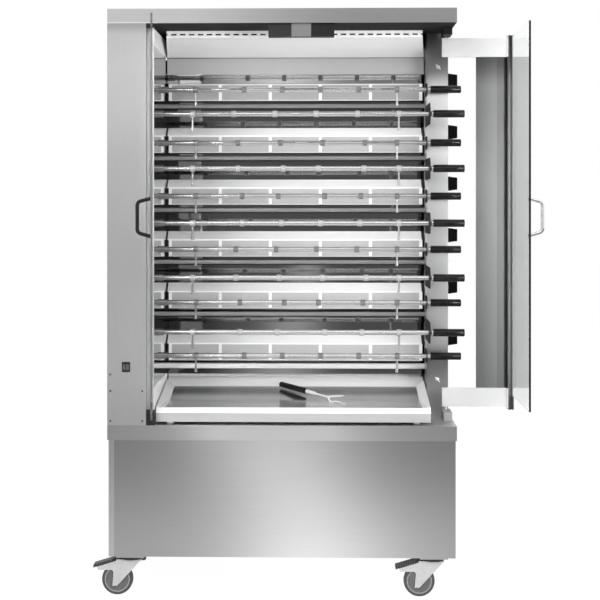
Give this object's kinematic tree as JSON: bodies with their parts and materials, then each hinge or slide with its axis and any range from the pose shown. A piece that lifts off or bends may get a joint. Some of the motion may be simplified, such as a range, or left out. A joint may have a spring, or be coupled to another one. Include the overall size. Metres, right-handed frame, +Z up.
{
  "type": "rotisserie oven",
  "caption": "Floor-standing gas rotisserie cabinet on castors with two staggered rows of spits before ceramic burners, glass doors, drip tray and drive column.",
  "frame": {"origin": "on the floor under the middle of the cabinet", "axes": "+X to the right seen from the front, +Y to the back, +Z up; the doors and the front face -Y"},
  "size_m": [1.4135, 1.0787, 1.889],
  "materials": {
    "satin_steel": "satin brushed stainless sheet",
    "mirror_steel": "bright polished stainless sheet",
    "bright_steel": "bright stainless",
    "ceramic_plaque": null,
    "zinc_steel": "bright zinc plate",
    "dark_metal": "dark painted steel",
    "black_plastic": "black moulded",
    "black_grip": "gloss black moulded",
    "chrome_rod": "polished stainless bar",
    "castor_tyre": "grey rubber",
    "door_glass": "clear tempered glass"
  },
  "bodies": {
    "cabinet": {"base_cabinet": "satin_steel", "left_column": "satin_steel", "drive_unit": "dark_metal", "switch_housing": "black_plastic", "chamber_liner": "mirror_steel", "burner_plaques": "ceramic_plaque", "burner_bodies": "mirror_steel", "right_post": "satin_steel", "spit_rack": "mirror_steel", "gas_manifold": "dark_metal", "back_panel": "satin_steel", "canopy": "satin_steel", "door_hardware": "dark_metal", "rear_castor_forks": "zinc_steel"},
    "spit_01": {"spit_01": "chrome_rod", "spit_01_handle": "black_grip"},
    "spit_02": {"spit_02": "chrome_rod", "spit_02_handle": "black_grip"},
    "spit_03": {"spit_03": "chrome_rod", "spit_03_handle": "black_grip"},
    "spit_04": {"spit_04": "chrome_rod", "spit_04_handle": "black_grip"},
    "spit_05": {"spit_05": "chrome_rod", "spit_05_handle": "black_grip"},
    "spit_06": {"spit_06": "chrome_rod", "spit_06_handle": "black_grip"},
    "spit_07": {"spit_07": "chrome_rod", "spit_07_handle": "black_grip"},
    "spit_08": {"spit_08": "chrome_rod", "spit_08_handle": "black_grip"},
    "spit_09": {"spit_09": "chrome_rod", "spit_09_handle": "black_grip"},
    "spit_10": {"spit_10": "chrome_rod", "spit_10_handle": "black_grip"},
    "spit_11": {"spit_11": "chrome_rod", "spit_11_handle": "black_grip"},
    "left_door": {"left_door_frame": "bright_steel", "left_door_glass": "door_glass", "left_door_handle": "black_plastic"},
    "right_door": {"right_door_frame": "bright_steel", "right_door_glass": "door_glass", "right_door_handle": "bright_steel"},
    "drip_tray": {"drip_tray": "mirror_steel"},
    "serving_fork": {"serving_fork": "black_plastic"},
    "gas_knob_1": {"gas_knob_1": "black_grip"},
    "gas_knob_2": {"gas_knob_2": "black_grip"},
    "gas_knob_3": {"gas_knob_3": "black_grip"},
    "gas_knob_4": {"gas_knob_4": "black_grip"},
    "gas_knob_5": {"gas_knob_5": "black_grip"},
    "gas_knob_6": {"gas_knob_6": "black_grip"},
    "rocker_left": {"rocker_left": "black_plastic"},
    "rocker_right": {"rocker_right": "black_plastic"},
    "castor_fork_front_left": {"castor_fork_front_left": "zinc_steel"},
    "castor_wheel_front_left": {"castor_wheel_front_left": "castor_tyre"},
    "brake_pedal_left": {"brake_pedal_left": "black_plastic"},
    "castor_fork_front_right": {"castor_fork_front_right": "zinc_steel"},
    "castor_wheel_front_right": {"castor_wheel_front_right": "castor_tyre"},
    "brake_pedal_right": {"brake_pedal_right": "black_plastic"},
    "castor_wheel_rear_left": {"castor_wheel_rear_left": "castor_tyre"},
    "castor_wheel_rear_right": {"castor_wheel_rear_right": "castor_tyre"}
  },
  "joints": [
    {"name": "spit_01_spin", "type": "hinge", "parent": "cabinet", "child": "spit_01", "pos_m": [0, 0.01, 1.65], "axis": [1, 0, 0], "continuous": true},
    {"name": "spit_02_spin", "type": "hinge", "parent": "cabinet", "child": "spit_02", "pos_m": [0, -0.125, 1.5598], "axis": [1, 0, 0], "continuous": true},
    {"name": "spit_03_spin", "type": "hinge", "parent": "cabinet", "child": "spit_03", "pos_m": [0, 0.01, 1.4696], "axis": [1, 0, 0], "continuous": true},
    {"name": "spit_04_spin", "type": "hinge", "parent": "cabinet", "child": "spit_04", "pos_m": [0, -0.125, 1.3794], "axis": [1, 0, 0], "continuous": true},
    {"name": "spit_05_spin", "type": "hinge", "parent": "cabinet", "child": "spit_05", "pos_m": [0, 0.01, 1.2892], "axis": [1, 0, 0], "continuous": true},
    {"name": "spit_06_spin", "type": "hinge", "parent": "cabinet", "child": "spit_06", "pos_m": [0, -0.125, 1.199], "axis": [1, 0, 0], "continuous": true},
    {"name": "spit_07_spin", "type": "hinge", "parent": "cabinet", "child": "spit_07", "pos_m": [0, 0.01, 1.1088], "axis": [1, 0, 0], "continuous": true},
    {"name": "spit_08_spin", "type": "hinge", "parent": "cabinet", "child": "spit_08", "pos_m": [0, -0.125, 1.0186], "axis": [1, 0, 0], "continuous": true},
    {"name": "spit_09_spin", "type": "hinge", "parent": "cabinet", "child": "spit_09", "pos_m": [0, 0.01, 0.9284], "axis": [1, 0, 0], "continuous": true},
    {"name": "spit_10_spin", "type": "hinge", "parent": "cabinet", "child": "spit_10", "pos_m": [0, -0.125, 0.8382], "axis": [1, 0, 0], "continuous": true},
    {"name": "spit_11_spin", "type": "hinge", "parent": "cabinet", "child": "spit_11", "pos_m": [0, 0.01, 0.748], "axis": [1, 0, 0], "continuous": true},
    {"name": "left_door_hinge", "type": "hinge", "parent": "cabinet", "child": "left_door", "pos_m": [-0.416, -0.284, 1.2], "axis": [0, 0, -1], "range_deg": [-84, 36]},
    {"name": "right_door_hinge", "type": "hinge", "parent": "cabinet", "child": "right_door", "pos_m": [0.542, -0.068, 1.2], "axis": [0, 0, 1], "range_deg": [-90, 20]},
    {"name": "tray_slide", "type": "slide", "parent": "cabinet", "child": "drip_tray", "axis": [0, -1, 0], "range_m": [0, 0.27]},
    {"name": "serving_fork_lift", "type": "slide", "parent": "drip_tray", "child": "serving_fork", "axis": [0, 0, 1], "range_m": [0, 0.06]},
    {"name": "gas_knob_1_turn", "type": "hinge", "parent": "cabinet", "child": "gas_knob_1", "pos_m": [0.575, 0.21, 1.695], "axis": [1, 0, 0], "range_deg": [0, 90]},
    {"name": "gas_knob_2_turn", "type": "hinge", "parent": "cabinet", "child": "gas_knob_2", "pos_m": [0.575, 0.21, 1.5146], "axis": [1, 0, 0], "range_deg": [0, 90]},
    {"name": "gas_knob_3_turn", "type": "hinge", "parent": "cabinet", "child": "gas_knob_3", "pos_m": [0.575, 0.21, 1.3342], "axis": [1, 0, 0], "range_deg": [0, 90]},
    {"name": "gas_knob_4_turn", "type": "hinge", "parent": "cabinet", "child": "gas_knob_4", "pos_m": [0.575, 0.21, 1.1538], "axis": [1, 0, 0], "range_deg": [0, 90]},
    {"name": "gas_knob_5_turn", "type": "hinge", "parent": "cabinet", "child": "gas_knob_5", "pos_m": [0.575, 0.21, 0.9734], "axis": [1, 0, 0], "range_deg": [0, 90]},
    {"name": "gas_knob_6_turn", "type": "hinge", "parent": "cabinet", "child": "gas_knob_6", "pos_m": [0.575, 0.21, 0.793], "axis": [1, 0, 0], "range_deg": [0, 90]},
    {"name": "rocker_left_tilt", "type": "hinge", "parent": "cabinet", "child": "rocker_left", "pos_m": [-0.5047, -0.29, 0.739], "axis": [1, 0, 0], "range_deg": [0, 10]},
    {"name": "rocker_right_tilt", "type": "hinge", "parent": "cabinet", "child": "rocker_right", "pos_m": [-0.4933, -0.29, 0.739], "axis": [1, 0, 0], "range_deg": [0, 10]},
    {"name": "castor_left_swivel", "type": "hinge", "parent": "cabinet", "child": "castor_fork_front_left", "pos_m": [-0.487, -0.241, 0.115], "axis": [0, 0, 1], "continuous": true},
    {"name": "castor_wheel_front_left_spin", "type": "hinge", "parent": "castor_fork_front_left", "child": "castor_wheel_front_left", "pos_m": [-0.532, -0.241, 0.05], "axis": [0, 1, 0], "continuous": true},
    {"name": "brake_pedal_left_lift", "type": "hinge", "parent": "castor_fork_front_left", "child": "brake_pedal_left", "pos_m": [-0.5285, -0.241, 0.11789], "axis": [0, 1, 0], "range_deg": [0, 10]},
    {"name": "castor_right_swivel", "type": "hinge", "parent": "cabinet", "child": "castor_fork_front_right", "pos_m": [0.487, -0.241, 0.115], "axis": [0, 0, 1], "continuous": true},
    {"name": "castor_wheel_front_right_spin", "type": "hinge", "parent": "castor_fork_front_right", "child": "castor_wheel_front_right", "pos_m": [0.442, -0.241, 0.05], "axis": [0, 1, 0], "continuous": true},
    {"name": "brake_pedal_right_lift", "type": "hinge", "parent": "castor_fork_front_right", "child": "brake_pedal_right", "pos_m": [0.4455, -0.241, 0.11789], "axis": [0, 1, 0], "range_deg": [0, 10]},
    {"name": "castor_wheel_rear_left_spin", "type": "hinge", "parent": "cabinet", "child": "castor_wheel_rear_left", "pos_m": [-0.511, 0.241, 0.05], "axis": [1, 0, 0], "continuous": true},
    {"name": "castor_wheel_rear_right_spin", "type": "hinge", "parent": "cabinet", "child": "castor_wheel_rear_right", "pos_m": [0.511, 0.241, 0.05], "axis": [1, 0, 0], "continuous": true}
  ],
  "couplings": [
    {"joint": "spit_02_spin", "follows": "spit_01_spin", "ratio": 1},
    {"joint": "spit_03_spin", "follows": "spit_01_spin", "ratio": 1},
    {"joint": "spit_04_spin", "follows": "spit_01_spin", "ratio": 1},
    {"joint": "spit_05_spin", "follows": "spit_01_spin", "ratio": 1},
    {"joint": "spit_06_spin", "follows": "spit_01_spin", "ratio": 1},
    {"joint": "spit_07_spin", "follows": "spit_01_spin", "ratio": 1},
    {"joint": "spit_08_spin", "follows": "spit_01_spin", "ratio": 1},
    {"joint": "spit_09_spin", "follows": "spit_01_spin", "ratio": 1},
    {"joint": "spit_10_spin", "follows": "spit_01_spin", "ratio": 1},
    {"joint": "spit_11_spin", "follows": "spit_01_spin", "ratio": 1}
  ]
}
